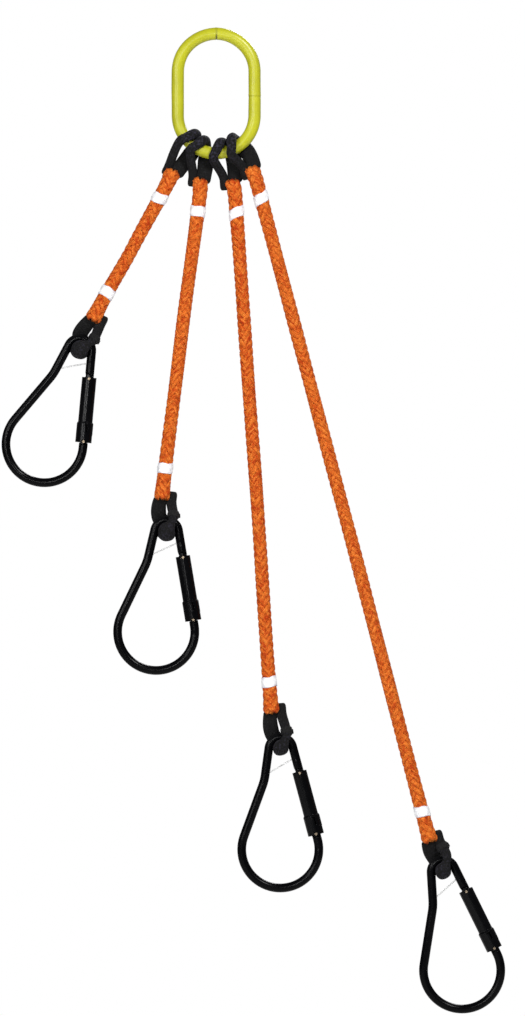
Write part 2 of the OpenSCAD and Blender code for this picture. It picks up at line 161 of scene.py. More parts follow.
# ------------------------------------------------------------ meshes
class Shape:
    """Gathers points, faces, uv and attributes of several sweeps into one mesh."""

    def __init__(self, *keys):
        self.points, self.faces, self.uv = [], [], []
        self.values = {key: [] for key in keys}
        self.count = 0

    def grid(self, rings, uv, closed=False, flip=False, caps=(False, False), **values):
        """Adds steps x sides x 3 points. A closed grid joins its last ring to its first."""
        steps, sides = rings.shape[:2]
        base = self.count
        self.count += steps * sides
        self.points.append(rings.reshape(-1, 3))
        self.uv.append(uv.reshape(-1, 2))
        for key, held in self.values.items():
            held.append(np.broadcast_to(values.get(key, 0.0), (steps, sides)).ravel())
        spans = np.arange(steps if closed else steps - 1)
        k, s = np.meshgrid(spans, np.arange(sides), indexing="ij")
        here, ahead, beside = k * sides, (k + 1) % steps * sides, (s + 1) % sides
        quads = np.stack([here + s, here + beside, ahead + beside, ahead + s], -1)
        quads = quads.reshape(-1, 4) + base
        self.faces += (quads[:, ::-1] if flip else quads).tolist()
        if caps[0]:
            self.faces.append([base + s for s in range(sides)][:: 1 if flip else -1])
        if caps[1]:
            last = base + (steps - 1) * sides
            self.faces.append([last + s for s in range(sides)][:: -1 if flip else 1])
        return base

    def strip_cap(self, base, sides, flip=False):
        """Closes a bent end ring with strips between its opposite sides."""
        for s in range(sides // 2):
            loop = [s, s + 1, (sides - s - 1) % sides, (sides - s) % sides]
            loop = [base + k for k in dict.fromkeys(loop)]
            self.faces.append(loop[::-1] if flip else loop)

    def join(self, first, second, sides, flip=False):
        """A ring of quads between two rings that start at these points."""
        for s in range(sides):
            t = (s + 1) % sides
            quad = [first + s, first + t, second + t, second + s]
            self.faces.append(quad[::-1] if flip else quad)

    def tube(self, outer, inner, uv, values, inside=()):
        """A walled tube, open at both ends. Its inner face takes only the values named inside."""
        steps, sides = outer.shape[:2]
        first = self.grid(outer, uv, **values)
        second = self.grid(inner, uv, flip=True, **{key: values[key] for key in inside})
        last = (steps - 1) * sides
        self.join(first, second, sides, flip=True)
        self.join(first + last, second + last, sides)

    def build(self, name, material, node, body=None):
        """Makes a piece that stands for a CAD node and rides on a body, if one is given."""
        mesh = bpy.data.meshes.new(name)
        mesh.from_pydata((np.concatenate(self.points) * MM).tolist(), [], self.faces)
        mesh.polygons.foreach_set("use_smooth", [True] * len(mesh.polygons))
        for key, values in self.values.items():
            layer = mesh.attributes.new(key, "FLOAT", "POINT")
            layer.data.foreach_set("value", np.concatenate(values).astype(np.float32))
        layer = mesh.uv_layers.new(name="UVMap")
        corner = np.zeros(len(mesh.loops), np.int32)
        mesh.loops.foreach_get("vertex_index", corner)
        layer.data.foreach_set("uv", np.concatenate(self.uv).astype(np.float32)[corner].ravel())
        mesh.materials.append(material)
        mesh.update()
        piece = bpy.data.objects.new(name, mesh)
        bpy.context.scene.collection.objects.link(piece)
        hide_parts(node)
        if body:
            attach(piece, body)
        return piece


def tangents(line):
    ahead = np.vstack([line[1:], line[-1:]])
    behind = np.vstack([line[:1], line[:-1]])
    runs = ahead - behind
    return runs / np.linalg.norm(runs, axis=1)[:, None]


def cross_frames(line, widths):
    """(width, normal) unit vectors square to a line at each of its points."""
    runs = tangents(line)
    w = widths - (widths * runs).sum(1)[:, None] * runs
    w /= np.linalg.norm(w, axis=1)[:, None]
    return w, np.cross(runs, w)


def angles(sides):
    return 2 * np.pi * np.arange(sides) / sides


def section(sides, fullness=2.0):
    """Points round a unit oval. Fullness above 2 fills its corners."""
    power = 2.0 / fullness
    waves = np.cos(angles(sides)), np.sin(angles(sides))
    return (np.sign(wave) * np.abs(wave) ** power for wave in waves)


def sweep_rings(line, widths, half_width, half_thick, sides, fullness=2.0):
    """Ovals along a line. A half size is one number or an array, rings x 1 or rings x sides."""
    w, n = cross_frames(line, widths)
    x, y = section(sides, fullness)
    across = w[:, None] * (half_width * x)[..., None]
    return line[:, None] + across + n[:, None] * (half_thick * y)[..., None]


def wire_rings(line, out, radius, a):
    """Rings of a wire in the XZ plane, at angles a from its outward directions towards +Y."""
    across = out[:, None] * (radius * np.cos(a))[..., None]
    return line[:, None] + across + Y_AXIS * (radius * np.sin(a))[..., None]


def run_length(line):
    return np.concatenate([[0], np.cumsum(np.linalg.norm(np.diff(line, axis=0), axis=1))])


def uv_grid(line, sides, girth):
    """u in millimetres round a section and v in millimetres along the line."""
    u = np.arange(sides) / sides * girth
    return np.stack(np.broadcast_arrays(u[None, :], run_length(line)[:, None]), -1)


# ------------------------------------------------------------ materials
class Material:
    """A node tree with one Principled shader. A value may be a (node, output) pair."""

    def __init__(self, name, **settings):
        self.material = bpy.data.materials.new(name)
        self.material.use_nodes = True
        self.tree = self.material.node_tree
        self.tree.nodes.clear()
        self.shader = self.add("ShaderNodeBsdfPrincipled", **settings)
        self.add("ShaderNodeOutputMaterial", Surface=(self.shader, "BSDF"))

    def put(self, node, into, value):
        """Links a pair to a node's input, or sets the input to a plain value."""
        if isinstance(value, tuple) and isinstance(value[0], bpy.types.Node):
            self.tree.links.new(value[0].outputs[value[1]], node.inputs[into])
        else:
            node.inputs[into].default_value = value

    def add(self, kind, **settings):
        """A node. Its settings are properties or, with _ in place of spaces, inputs."""
        made = self.tree.nodes.new(kind)
        for key, value in settings.items():
            if hasattr(made, key):
                setattr(made, key, value)
            else:
                self.put(made, key.replace("_", " "), value)
        return made

    def surface(self, **inputs):
        for key, value in inputs.items():
            self.put(self.shader, key.replace("_", " "), value)

    def coords(self, kind="Object", scale=(1.0, 1.0, 1.0)):
        source = self.add("ShaderNodeTexCoord")
        return self.add("ShaderNodeMapping", Scale=scale, Vector=(source, kind)), "Vector"

    def noise(self, scale, detail, roughness=0.55, coords=None):
        made = self.add("ShaderNodeTexNoise", Scale=scale, Detail=detail, Roughness=roughness)
        self.put(made, "Vector", coords or self.coords())
        return made, "Fac"

    def wave(self, scale, coords, direction, distortion=0.0):
        made = self.add("ShaderNodeTexWave", wave_type="BANDS", bands_direction=direction)
        for into, value in (("Scale", scale), ("Distortion", distortion), ("Vector", coords)):
            self.put(made, into, value)
        return made, "Fac"

    def attribute(self, name):
        return self.add("ShaderNodeAttribute", attribute_name=name), "Fac"

    def product(self, a, b):
        made = self.add("ShaderNodeMath", operation="MULTIPLY")
        self.put(made, 0, a)
        self.put(made, 1, b)
        return made, "Value"

    def ramp(self, source, *stops):
        """Each stop is a place with its grey or its rgb triple."""
        made = self.add("ShaderNodeValToRGB", Fac=source)
        elements = made.color_ramp.elements
        while len(elements) < len(stops):
            elements.new(0.5)
        for element, (place, colour) in zip(elements, stops):
            element.position = place
            element.color = (*((colour,) * 3 if np.isscalar(colour) else colour), 1.0)
        return made, "Color"

    def mix(self, kind, factor, first, second):
        """Mixes an rgb triple, the second, into a colour."""
        made = self.add("ShaderNodeMix", data_type="RGBA", blend_type=kind)
        for slot, value in ((0, factor), (6, first), (7, (*second, 1.0))):
            self.put(made, slot, value)
        return made, "Result"

    def marked(self, under, attribute, share, colour):
        """Mixes a colour in where a mesh attribute is high."""
        return self.mix("MIX", self.product(self.attribute(attribute), share), under, colour)

    def bump(self, strength, distance, *sources):
        """Stacks bumps of (pair, share) at one distance in metres. Returns the lowest node."""
        stack = []
        for source, share in sources:
            made = self.add("ShaderNodeBump", Strength=strength * share, Distance=distance)
            self.put(made, "Height", source)
            if stack:
                self.put(made, "Normal", (stack[-1], "Normal"))
            stack.append(made)
        self.surface(Normal=(stack[-1], "Normal"))
        return stack[0]


def paint_material():
    m = Material("link_paint", Specular_IOR_Level=0.35, Coat_Weight=0.12, Coat_Roughness=0.25)
    low, middle, high = (0.40, 0.40, 0.010), (0.47, 0.47, 0.015), (0.54, 0.54, 0.024)
    base = m.ramp(m.noise(26.0, 4.0), (0.3, low), (0.55, middle), (0.8, high))
    speck = m.noise(900.0, 2.0)
    m.surface(
        Base_Color=m.marked(base, "mark", 1.0, (0.035, 0.035, 0.02)),
        Roughness=m.ramp(speck, (0.3, 0.30), (0.7, 0.44)),
    )
    m.bump(0.25, 0.0004, (m.noise(160.0, 3.0), 0.5), (speck, 0.25))
    return m.material


def rope_material():
    """Orange yarn, with painted shade between its strands and in the grooves between its yarns,
    painted highlights in pale fibre streaks, painted lit and shaded flakes, and wear.
    """
    m = Material("rope_fibre", Roughness=0.75, Specular_IOR_Level=0.15)
    yarn = m.wave(1.15, m.coords("UV", (1.0, 0.32, 1.0)), "DIAGONAL", 1.2)
    fibre = m.noise(2.6, 4.0, 0.65, m.coords("UV", (3.0, 0.22, 1.0)))
    flake = m.noise(0.55, 2.0, 0.6, m.coords("UV", (1.0, 0.30, 1.0)))
    patch = m.noise(0.16, 2.0, 0.5, m.coords("UV"))
    # painted shade: the yarn darkens from its crown down into the crevices between strands, as the
    # mesh's height falls
    deep, flank, crown = (0.055, 0.003, 0.0006), (0.44, 0.038, 0.002), (0.75, 0.106, 0.006)
    body = m.ramp(m.attribute("height"), (0.38, deep), (0.64, flank), (0.93, crown))
    # painted highlights: pale yellow fibre streaks where the fibre noise runs high
    light = m.mix("MIX", m.ramp(fibre, (0.52, 0.0), (0.70, 0.9)), body, (1.0, 0.40, 0.065))
    # painted highlights and painted shade, in random flakes over the yarn
    lit = m.mix("MIX", m.ramp(flake, (0.50, 0.0), (0.64, 0.75)), light, (0.98, 0.30, 0.050))
    shaded = m.mix("MULTIPLY", m.ramp(flake, (0.37, 0.9), (0.51, 0.0)), lit, (0.62, 0.26, 0.08))
    # painted shade in the grooves between yarns
    yarn_groove_shade = m.mix("MULTIPLY", m.ramp(yarn, (0.0, 0.9), (0.38, 0.0)), shaded, (0.36, 0.16, 0.08))
    warm = m.marked(yarn_groove_shade, "tint", 0.30, (0.95, 0.29, 0.035))
    worn = m.mix("MULTIPLY", m.ramp(patch, (0.35, 0.35), (0.65, 0.0)), warm, (0.78, 0.66, 0.60))
    m.surface(Base_Color=worn)
    m.bump(0.8, 0.0005, (yarn, 0.7), (fibre, 0.6))
    return m.material


def weave_material(name, colour, roughness, pitch, dust_and_highlight_colour):
    """A plain weave, pitched in millimetres of uv, paler where 'edge' is high: painted highlights
    along a sleeve's folded sides and a keeper's rib crests, and paler threads at a sleeve's open
    ends.
    """
    m = Material(name, Roughness=roughness, IOR=1.3, Sheen_Weight=0.01, Sheen_Roughness=0.45)
    m.surface(Sheen_Tint=(0.75, 0.72, 1.0, 1.0))
    uv = m.coords("UV", (1.0 / pitch, 1.0 / pitch, 1.0))
    weave = m.product(m.wave(0.5, uv, "X"), m.wave(0.5, uv, "Y"))
    lint = m.noise(700.0, 3.0)
    low, high = (tuple(share * c for c in colour) for share in (0.45, 1.9))
    thread = m.ramp(weave, (0.0, low), (0.8, high))
    dusty = m.mix("MIX", m.ramp(lint, (0.56, 0.0), (0.78, 0.40)), thread, dust_and_highlight_colour)
    # painted highlights, and paler sleeve ends, where 'edge' is high
    edge_highlights = m.marked(dusty, "edge", 0.75, dust_and_highlight_colour)
    # where the sleeve is stretched over the bar its weave catches a faint violet sheen
    patch = m.ramp(m.noise(420.0, 3.0), (0.48, 0.0), (0.66, 0.9))
    threads = m.product(patch, m.ramp(weave, (0.05, 0.35), (0.5, 1.0)))
    shine = m.product(m.attribute("crest"), threads)
    m.surface(Base_Color=m.mix("MIX", shine, edge_highlights, (0.060, 0.054, 0.095)))
    m.bump(0.7, 0.00035, (weave, 0.8), (lint, 0.5))
    return m.material


def tape_material():
    m = Material("marker_tape", Roughness=0.55, Sheen_Weight=0.1)
    crease = m.noise(260.0, 4.0)
    base = m.ramp(crease, (0.3, (0.80, 0.80, 0.84)), (0.6, (0.92, 0.92, 0.93)))
    # painted shade: violet grey where 'edge' is high, at the band's rims and its sides
    m.surface(Base_Color=m.marked(base, "edge", 0.8, (0.42, 0.34, 0.50)))
    ribs = m.wave(1.0, m.coords("UV", (0.6, 0.0, 1.0)), "X", 0.5)
    m.bump(0.5, 0.0004, (crease, 1.0), (ribs, 0.4))
    return m.material


def coat_material(name, cad, gloss):
    """Black coating with faint wear. On CAD nodes the shading rounds the sharp edges."""
    m = Material(name, IOR=1.4, Specular_IOR_Level=gloss)
    speckle = m.noise(420.0, 4.0, 0.6)
    broad = m.noise(38.0, 3.0)
    base = m.ramp(broad, (0.3, (0.0006, 0.0006, 0.0010)), (0.7, (0.0014, 0.0014, 0.0020)))
    worn = m.mix("MIX", m.ramp(speckle, (0.66, 0.0), (0.80, 0.3)), base, (0.02, 0.02, 0.02))
    m.surface(
        Base_Color=worn if cad else m.marked(worn, "wear", 0.5, (0.03, 0.03, 0.03)),
        Roughness=m.ramp(broad, (0.3, 0.19), (0.7, 0.27)),
    )
    bump = m.bump(0.18, 0.0003, (speckle, 1.0))
    if cad:
        m.put(bump, "Normal", (m.add("ShaderNodeBevel", samples=6, Radius=0.0004), "Normal"))
    return m.material


def steel_material(name, colour, roughness, grain):
    m = Material(name, Metallic=0.8)
    brushed = m.noise(grain, 3.0, 0.6, m.coords("Object", (1.0, 1.0, 6.0)))
    low = tuple(0.7 * c for c in colour)
    m.surface(
        Base_Color=m.ramp(brushed, (0.3, low), (0.65, colour)),
        Roughness=m.ramp(brushed, (0.3, roughness * 0.8), (0.7, roughness * 1.4)),
    )
    m.bump(0.2, 0.0002, (brushed, 1.0))
    return m.material


PAINT = paint_material()
ROPE = rope_material()
WEBBING = weave_material("black_webbing", (0.0040, 0.0039, 0.0038), 0.85, 1.0, (0.05, 0.05, 0.052))
ELASTIC = weave_material("ribbed_elastic", (0.0040, 0.0040, 0.0040), 0.75, 0.7, (0.06, 0.06, 0.06))
TAPE = tape_material()
COAT = coat_material("black_coating", cad=False, gloss=0.11)
CAD_COAT = coat_material("black_coating_machined", cad=True, gloss=0.19)
BRIGHT = steel_material("bright_steel", (0.34, 0.27, 0.19), 0.4, 500.0)
WIRE = steel_material("galvanised_wire", (0.80, 0.80, 0.80), 0.55, 60.0)
SPRING = steel_material("spring_steel", (0.38, 0.39, 0.41), 0.35, 700.0)


# ------------------------------------------------------------ master link
LINK_STEPS = 360
LINK_SIDES = 40
SEAM_HEIGHT, SEAM_RUN, SEAM_WANDER = 0.22, 1.5, 0.35
GROOVE_DEPTH, GROOVE_RUN, GROOVE_PLACE = 0.75, 0.7, 0.4
RIDGE_HEIGHT, RIDGE_RUN, RIDGE_BELOW_BOW = 0.20, 1.1, 26.0
DIP_DEPTH, DIP_STEPS = 0.14, 3  # beside the ridge


def master_link():
    """The link's wire, swept clockwise round its stadium from the crown.

    It has a weld seam at the crown and a faint one on its right leg.
    """
    straight = UPPER_BOW_Z - LOWER_BOW_Z
    arc = math.pi * LINK_BOW
    total = 2 * (straight + arc)
    line, out = [], []
    for k in range(LINK_STEPS):
        s = (k / LINK_STEPS * total + arc / 2) % total
        if s < arc:
            centre, radial = UPPER_CENTRE, plane_dir(math.degrees(math.pi - s / LINK_BOW))
        elif s < arc + straight:
            centre, radial = UPPER_CENTRE - (s - arc) * Z_AXIS, plane_dir(0)
        elif s < 2 * arc + straight:
            centre = LOWER_CENTRE
            radial = plane_dir(math.degrees(-(s - arc - straight) / LINK_BOW))
        else:
            centre, radial = LOWER_CENTRE + (s - 2 * arc - straight) * Z_AXIS, plane_dir(180)
        line.append(centre + LINK_BOW * radial)
        out.append(radial)
    line, out = np.array(line), np.array(out)
    a = angles(LINK_SIDES)
    place = np.arange(LINK_STEPS) / LINK_STEPS * total
    place = np.where(place > total / 2, place - total, place)[:, None]
    inside, facing = np.clip(-np.cos(a), 0, 1), np.clip(-np.sin(a), 0, 1)
    seam = hump(place + SEAM_WANDER * np.sin(3 * a), 0.0, SEAM_RUN)
    groove = hump(place, GROOVE_PLACE, GROOVE_RUN) * np.clip(inside * 1.4 + facing * 0.35, 0, 1)
    from_ridge = place - (arc / 2 + RIDGE_BELOW_BOW)
    ridge = hump(from_ridge, 0.0, RIDGE_RUN)
    dip = np.roll(ridge, DIP_STEPS, 0)
    forged = 0.10 * np.sin(place / 17.0 + 2 * a) + 0.07 * np.sin(place / 7.3 - 3 * a + 1.0)
    radius = LINK_R + SEAM_HEIGHT * seam - GROOVE_DEPTH * groove
    radius = radius + RIDGE_HEIGHT * ridge - DIP_DEPTH * dip + forged
    mark = np.clip(groove * 1.5, 0, 0.95) + 0.28 * hump(from_ridge, 1.2, 0.6)
    shape = Shape("mark")
    uv = uv_grid(line, LINK_SIDES, 2 * math.pi * LINK_R)
    shape.grid(wire_rings(line, out, radius, a), uv, closed=True, mark=mark)
    shape.build("painted_master_link", PAINT, "master_link", "root")


# ------------------------------------------------------------ eyes
# an eye runs from 0 at its front crotch, over the bar, to 1 at its rear crotch
LOOP_GAP = 0.5  # between the sleeve and the bar
SEAT_WRAP = 105.0  # degrees by which it wraps the bar, each way
STRAND_SHARE = 0.25  # of the run, in each of its two strands
FOOT_PULL, HEAD_PULL = 0.30, 0.20  # how stiffly a strand leaves the crotch and the bar
LEAVE_WRAP = 0.96  # the wrap from which a strand's direction off the bar is taken
TURN_SOFTNESS = 0.2
WIDTH_HOLD = 0.4
EARLY_TURN, EARLY_END = 1.08, 0.75  # a front strand that turns before it reaches the bar
BULGE_PLACE, BULGE_RUN = 0.10, 0.06  # past the middle of the run

UPPER_STATIONS = (0.0, 0.16, 0.43, 0.57, 0.84, 1.0)
UPPER_SIZES = ((5.2, 4.4), (5.2, 4.4), (5.8, 5.0), (5.8, 5.0), (9.2, 4.4), (8.6, 4.4))
UPPER_TWISTS = ((6.0, 10.0), (10.0, 8.0), (12.6, 8.8), (12.5, 4.0))
UPPER_FEET = ((6.8, 4.3), (8.5, 3.7), (9.2, 3.6), (8.5, 3.0))
UPPER_TAILS = ((7.0, 2.5), (11.0, 6.0), (12.0, 4.0), (12.5, 4.0))
UPPER_SHEEN = 1.0
LOWER_STATIONS = (0.0, 0.15, 0.29, 0.42, 0.57, 0.84, 1.0)
LOWER_FRONT = ((6.0, 3.8), (5.7, 4.4), (4.5, 4.4))
LOWER_CREST = ((9.9, 9.1), (9.6, 9.4), (8.8, 7.7), (8.8, 8.3))
LOWER_BACK = ((8.8, 4.6), (7.9, 4.2))
LOWER_TURN = (10.0, 0.0, 0.0, 0.0)
LOWER_TWISTS = ((38.0, 12.0), (34.0, 14.0), (34.0, 13.0), (38.0, 4.0))
LOWER_FEET = ((9.8, 1.7), (10.9, 1.5), (11.0, 1.3), (10.0, 2.2))
LOWER_BULGE = (3.2, 2.8, 0.4, 0.8)
LOWER_TAILS = (10.5, 3.0)
LOWER_SHEEN = 0.45
BAR_SHOWN_R = 5.05


class Eye:
    """A loop of sleeved rope over a curved bar.

    centre, bow, bar   the bar's bow: its centre, its radius and the radius of its wire
    outward, twists    the loop's angle at the bow, and its turns in front of the bar and behind
    crotch, rope       where the loop closes, and the direction from there along the rope
    stations, sizes    half width and half thickness of the sleeve at places along the run
    feet, splay, sink  sideways places of the two ends, their splay, and their depth behind
    bulge, early       extra half width behind the crest, and whether the front turns early
    """

    def __init__(self, **shape):
        self.__dict__.update(shape)
        self.sizes = np.array(self.sizes)
        self.across = np.array([-self.rope[2], 0.0, self.rope[0]])

    def turn_at(self, w):
        """The loop's outward angle at w, from -1 in front of the bar to 1 behind it."""
        front, back = self.twists
        if self.early and w < 0:
            w = -EARLY_TURN * ease(-w / EARLY_END)
        spread = (back - front) / 2 * (math.hypot(w, TURN_SOFTNESS) - TURN_SOFTNESS)
        return self.outward + (back + front) / 2 * w + spread

    def size_at(self, t):
        bulge = self.bulge * hump(t - 0.5, BULGE_PLACE, BULGE_RUN)
        return eased_steps(t, self.stations, self.sizes) + (bulge, 0.0)

    def on_seat(self, wrap):
        share = lerp(STRAND_SHARE, 1 - STRAND_SHARE, (wrap / SEAT_WRAP + 1) / 2)
        stand = self.bar + LOOP_GAP + self.size_at(share)[1]
        a = math.radians(wrap)
        outward = plane_dir(self.turn_at(wrap / 90))
        in_plane = (self.bow - stand * math.cos(a)) * outward
        return self.centre + in_plane + Y_AXIS * stand * math.sin(a)

    def strand(self, wrap, offset, t):
        """A point of the curve from a foot at the crotch, at t = 0, to the bar."""
        foot = self.crotch + self.across * offset + Y_AXIS * self.sink
        head = self.on_seat(wrap)
        leave = unit(head - self.on_seat(wrap * LEAVE_WRAP))
        reach = np.linalg.norm(head - foot)
        spread = self.across * (-self.splay[0] if offset < 0 else self.splay[1])
        above = foot - self.rope * reach * FOOT_PULL + spread
        below = head + leave * reach * HEAD_PULL
        u = 1 - t
        return foot * u**3 + 3 * above * t * u**2 + 3 * below * t * t * u + head * t**3

    def point(self, t):
        if t < STRAND_SHARE:
            return self.strand(-SEAT_WRAP, -self.feet[0], t / STRAND_SHARE)
        if t > 1 - STRAND_SHARE:
            return self.strand(SEAT_WRAP, self.feet[1], (1 - t) / STRAND_SHARE)
        share = (t - STRAND_SHARE) / (1 - 2 * STRAND_SHARE)
        return self.on_seat(lerp(-SEAT_WRAP, SEAT_WRAP, share))

    def width_dir(self, t):
        off_bar = ease(abs(2 * t - 1) * (1 + WIDTH_HOLD) - WIDTH_HOLD)
        return unit(lerp(self.across, plane_dir(self.turn_at(2 * t - 1) + 90), 1 - off_bar))

    def sample(self, start, end, count):
        """Points, width directions and (half width, half thickness) rows along part of the run."""
        ts = np.linspace(start, end, count)
        return (np.array([f(t) for t in ts]) for f in (self.point, self.width_dir, self.size_at))


def upper_eye(i):
    return Eye(
        centre=LOWER_CENTRE, bow=LINK_BOW, bar=LINK_R,
        outward=SEAT_ANGLE[i] - 90, twists=UPPER_TWISTS[i],
        crotch=upper_crotch(i) + leg_bow(i, 0.0) * leg_side(i), rope=down_dir(LEG_LEAN[i]),
        stations=UPPER_STATIONS, sizes=UPPER_SIZES,
        feet=UPPER_FEET[i], splay=(0.5, 0.5), sink=1.0, bulge=0.0, early=False,
    )


def lower_eye(i):
    full = LEG_LENGTH[i]
    return Eye(
        centre=hook_origin(i), bow=TOP_BOW, bar=BAR_SHOWN_R,
        outward=LOWER_LEAN[i] + LOWER_TURN[i] + 90, twists=LOWER_TWISTS[i],
        crotch=along_leg(i, full) + leg_bow(i, full) * leg_side(i), rope=-down_dir(LEG_LEAN[i]),
        stations=LOWER_STATIONS, sizes=(*LOWER_FRONT, LOWER_CREST[i], LOWER_CREST[i], *LOWER_BACK),
        feet=LOWER_FEET[i], splay=(0.6, 2.2), sink=2.0, bulge=LOWER_BULGE[i], early=True,
    )


SLEEVE_SIDES = 32
SLEEVE_SAMPLES = 84
SLEEVE_WALL = 1.3
SLEEVE_FULLNESS = 2.25
SLEEVE_GIRTH = 40.0
TUCK_RUN, TUCK_WIDTH, TUCK_THICK = 5.0, 0.42, 0.40
TAIL_STEPS, TAIL_BUNCHING = 8, 1.6
BEND_SHARE = 0.24  # of the run, where the sleeve bends round the bar
FOLD_FLAT, FOLD_BENT, FOLD_HEIGHT = 0.10, 0.34, 0.45
FOLD_PITCH, PUCKER_PITCH = 1.35, 3.1
HEM_RUN = 0.7


def sleeve(name, eye, body, node, tails, seed, sheen):
    """A woven tube over one eye. Its tails run past the crotch in front and behind."""
    line, widths, sizes = eye.sample(0, 1, SLEEVE_SAMPLES)
    shares = 1 - np.linspace(0, 1, TAIL_STEPS, endpoint=False)[:, None] ** TAIL_BUNCHING
    before = line[0] + eye.rope * tails[0] * shares
    after = line[-1] + eye.rope * tails[1] * shares[::-1]
    line = np.vstack([before, line, after])
    widths, sizes = (
        np.pad(rows, ((TAIL_STEPS, TAIL_STEPS), (0, 0)), "edge") for rows in (widths, sizes)
    )
    length = run_length(line)[:, None]
    full = length[-1]
    angle = angles(SLEEVE_SIDES)
    # soft folds, strongest where the sleeve bends round the bar, and a tuck at each open end
    bend = hump(length, full / 2, BEND_SHARE * full)
    folds = np.sin(length / FOLD_PITCH + 1.3 * np.sin(angle + seed))
    folds = folds * np.clip(np.sin(angle), 0.0, 1.0) ** 0.7
    puckers = 0.6 * np.sin(length / PUCKER_PITCH + 2 * angle + seed)
    ripple = (FOLD_FLAT + FOLD_BENT * bend) * (folds + puckers)
    short = np.clip(1 - np.minimum(length, full - length) / TUCK_RUN, 0, 1)
    tuck = 1 - np.sqrt(1 - short**2)
    hw = sizes[:, :1] * (1 - TUCK_WIDTH * tuck) + FOLD_HEIGHT * ripple
    ht = sizes[:, 1:] * (1 - TUCK_THICK * tuck) + FOLD_HEIGHT * ripple
    outer, inner = (
        sweep_rings(line, widths, hw - wall, ht - wall, SLEEVE_SIDES, SLEEVE_FULLNESS)
        for wall in (0.0, SLEEVE_WALL)
    )
    # painted highlights along the sleeve's two folded sides, and paler threads within a millimetre
    # of its open ends
    side_highlight = np.clip(1.6 - 16 * np.abs(np.sin(angle)), 0, 1)
    hem = np.exp(-length / HEM_RUN) + np.exp(-(full - length) / HEM_RUN)
    edge = np.clip(0.28 * side_highlight + 0.45 * hem, 0, 1)
    shape = Shape("edge", "crest")
    values = {"edge": edge, "crest": sheen * bend}
    shape.tube(outer, inner, uv_grid(line, SLEEVE_SIDES, SLEEVE_GIRTH), values, inside=("edge",))
    shape.build(name, WEBBING, node, body)


CORE_SIDES = 16
CORE_SAMPLES = 60
CORE_INSET = 1.6
CORE_GIRTH = 20.0


def eye_core(name, eye, body, node):
    """The rope inside a sleeve."""
    line, widths, sizes = eye.sample(0, 1, CORE_SAMPLES)
    half = sizes - CORE_INSET
    rings = sweep_rings(line, widths, half[:, :1], half[:, 1:], CORE_SIDES)
    shape = Shape("height", "tint")
    uv = uv_grid(line, CORE_SIDES, CORE_GIRTH)
    shape.grid(rings, uv, caps=(True, True), height=0.6, tint=0.3)
    shape.build(name, ROPE, node, body)


# ------------------------------------------------------------ braided rope
STRANDS = 12
BRAID_LEAD = 53.0
BRAID_MID_R = 5.7
BRAID_SWING = 0.65
CROSSING_SHARPNESS = 1.6
STRAND_HALF_W = 2.7
STRAND_HALF_T = 1.5
STRAND_FULLNESS = 2.3
STRAND_GIRTH = 11.0
STRAND_UV_SHIFT = 37.0
STRAND_SIDES = 10
STRAND_STEP = 1.7
BRAID_REACH = BRAID_MID_R + BRAID_SWING + STRAND_HALF_T
HEIGHT_FROM, HEIGHT_RANGE = 3.4, 3.9
END_FLARE, END_FLARE_RUN = 0.27, 9.0
SWELL, SWELL_RUN = 0.10, 60.0
END_CURL, END_CURL_IN = 4.5, 2.4
CUT_RAGGED = 0.7
# how far below the upper crotch each rope starts, and how far above the lower crotch it ends
UPPER_END = (-1.5, 1.8, 1.8, 1.0)
LOWER_END = (0.0, 0.8, 0.9, 0.8)


def braid_flare(s, length):
    """How much the braid stands wider than in its middle, at distances along a leg."""
    near = np.clip(np.minimum(s, length - s), 0, None)
    flare = 1 + END_FLARE * np.exp(-near / END_FLARE_RUN) + SWELL * np.exp(-near / SWELL_RUN)
    return flare + 0.015 * np.sin(s / 23.0)


